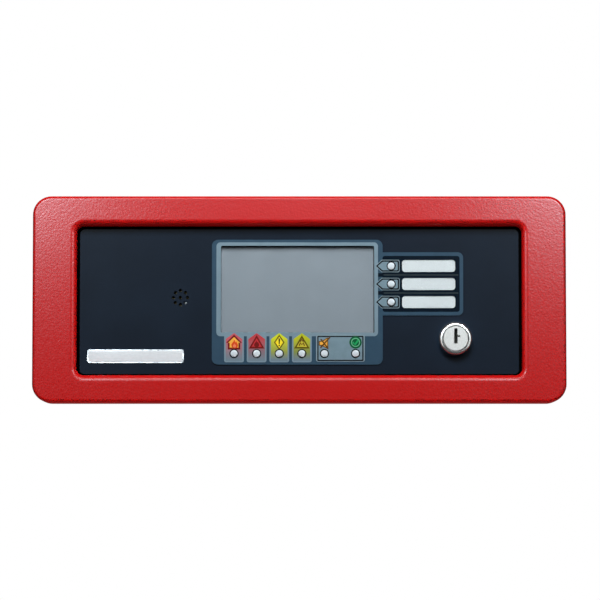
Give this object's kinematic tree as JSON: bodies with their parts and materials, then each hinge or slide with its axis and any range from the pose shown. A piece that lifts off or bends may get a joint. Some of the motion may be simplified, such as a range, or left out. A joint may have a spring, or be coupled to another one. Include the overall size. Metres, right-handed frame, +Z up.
{
  "type": "fire alarm interface panel",
  "caption": "Wall-mounted fire alarm panel: red hinged door with a recessed dark panel, colour touch display, status lights, slip-in labels and key lock, on a shallow steel box.",
  "frame": {"origin": "centre of the wall box's back face, on the wall", "axes": "+X to the right across the door, +Y into the wall, +Z up; the door faces -Y"},
  "size_m": [0.343, 0.0815, 0.133],
  "materials": {
    "red_coat": "fine wrinkle powder coat, satin",
    "dark_coat": "fine texture powder coat, matte",
    "printed_film": "reverse printed polyester film, satin",
    "film_spacer": "matte",
    "clear_film": "clear polyester film",
    "touch_glass": "anti-glare glass",
    "display_panel": "unlit liquid crystal cell",
    "diffuser": "white light guide",
    "plated_steel": "bright zinc plate",
    "hinge_steel": "satin stainless steel",
    "bright_chrome": "polished",
    "brass": "bright, lightly tarnished",
    "copper_flash": "copper plated weld stud",
    "foam": "closed cell foam",
    "black_nylon": "moulded nylon",
    "lens_acrylic": "frosted light pipe",
    "label_paper": "plain card strip",
    "board_laminate": "green solder mask",
    "chip_epoxy": "moulded epoxy",
    "led_package": "white ceramic filled package",
    "capacitor_can": "bare can",
    "coil_ferrite": "ferrite",
    "socket_nylon": "natural nylon",
    "terminal_green": "moulded polyamide",
    "ribbon_polyimide": "amber film",
    "piezo_ceramic": "silvered ceramic",
    "red_insulation": "PVC",
    "black_insulation": "PVC",
    "badge_plate": "blank plate"
  },
  "bodies": {
    "wall_box": {"back_box": "red_coat", "cable_bushing": "black_nylon", "rim_seal": "foam", "hinge_box_leaf": "hinge_steel", "hinge_pin": "hinge_steel", "earth_stud": "brass", "earth_nut": "brass"},
    "front_door": {"door_shell": "red_coat", "hinge_door_leaf": "hinge_steel", "door_studs": "copper_flash", "panel_nuts": "plated_steel", "interface_panel": "dark_coat", "overlay_spacer": "film_spacer", "graphic_overlay": "printed_film", "label_windows": "clear_film", "name_badge": "badge_plate", "display_tape": "foam", "touch_screen": "touch_glass", "display_frame": "plated_steel", "display_cell": "display_panel", "display_backlight": "diffuser", "display_pads": "foam", "display_ribbon": "ribbon_polyimide", "ribbon_socket": "socket_nylon", "main_board": "board_laminate", "board_standoffs": "plated_steel", "board_screws": "plated_steel", "status_leds": "led_package", "label_leds": "led_package", "status_lenses": "lens_acrylic", "label_lenses": "lens_acrylic", "sounder_ring": "foam", "sounder_disc": "brass", "sounder_ceramic": "piezo_ceramic", "sounder_lead_red": "red_insulation", "sounder_lead_black": "black_insulation", "lead_socket": "socket_nylon", "lead_plug": "socket_nylon", "processor_chip": "chip_epoxy", "memory_chips": "chip_epoxy", "capacitors": "capacitor_can", "power_coils": "coil_ferrite", "terminal_headers": "terminal_green", "terminal_plugs": "terminal_green", "terminal_screws": "plated_steel", "lock_body": "bright_chrome", "lock_washer": "plated_steel", "lock_nut": "plated_steel"},
    "key_plug": {"lock_plug": "bright_chrome", "lock_cam": "plated_steel", "cam_screw": "plated_steel"},
    "label_top": {"label_strip_top": "label_paper"},
    "label_middle": {"label_strip_middle": "label_paper"},
    "label_bottom": {"label_strip_bottom": "label_paper"}
  },
  "joints": [
    {"name": "door_hinge", "type": "hinge", "parent": "wall_box", "child": "front_door", "pos_m": [-0.163, -0.0561, 0], "axis": [0, 0, -1], "range_deg": [0, 110]},
    {"name": "key_turn", "type": "hinge", "parent": "front_door", "child": "key_plug", "pos_m": [0.1005, -0.08, -0.0252], "axis": [0, 1, 0], "range_deg": [0, 90]},
    {"name": "label_top_slide", "type": "slide", "parent": "front_door", "child": "label_top", "axis": [1, 0, 0], "range_m": [0, 0.0365]},
    {"name": "label_middle_slide", "type": "slide", "parent": "front_door", "child": "label_middle", "axis": [1, 0, 0], "range_m": [0, 0.0365]},
    {"name": "label_bottom_slide", "type": "slide", "parent": "front_door", "child": "label_bottom", "axis": [1, 0, 0], "range_m": [0, 0.0365]}
  ]
}
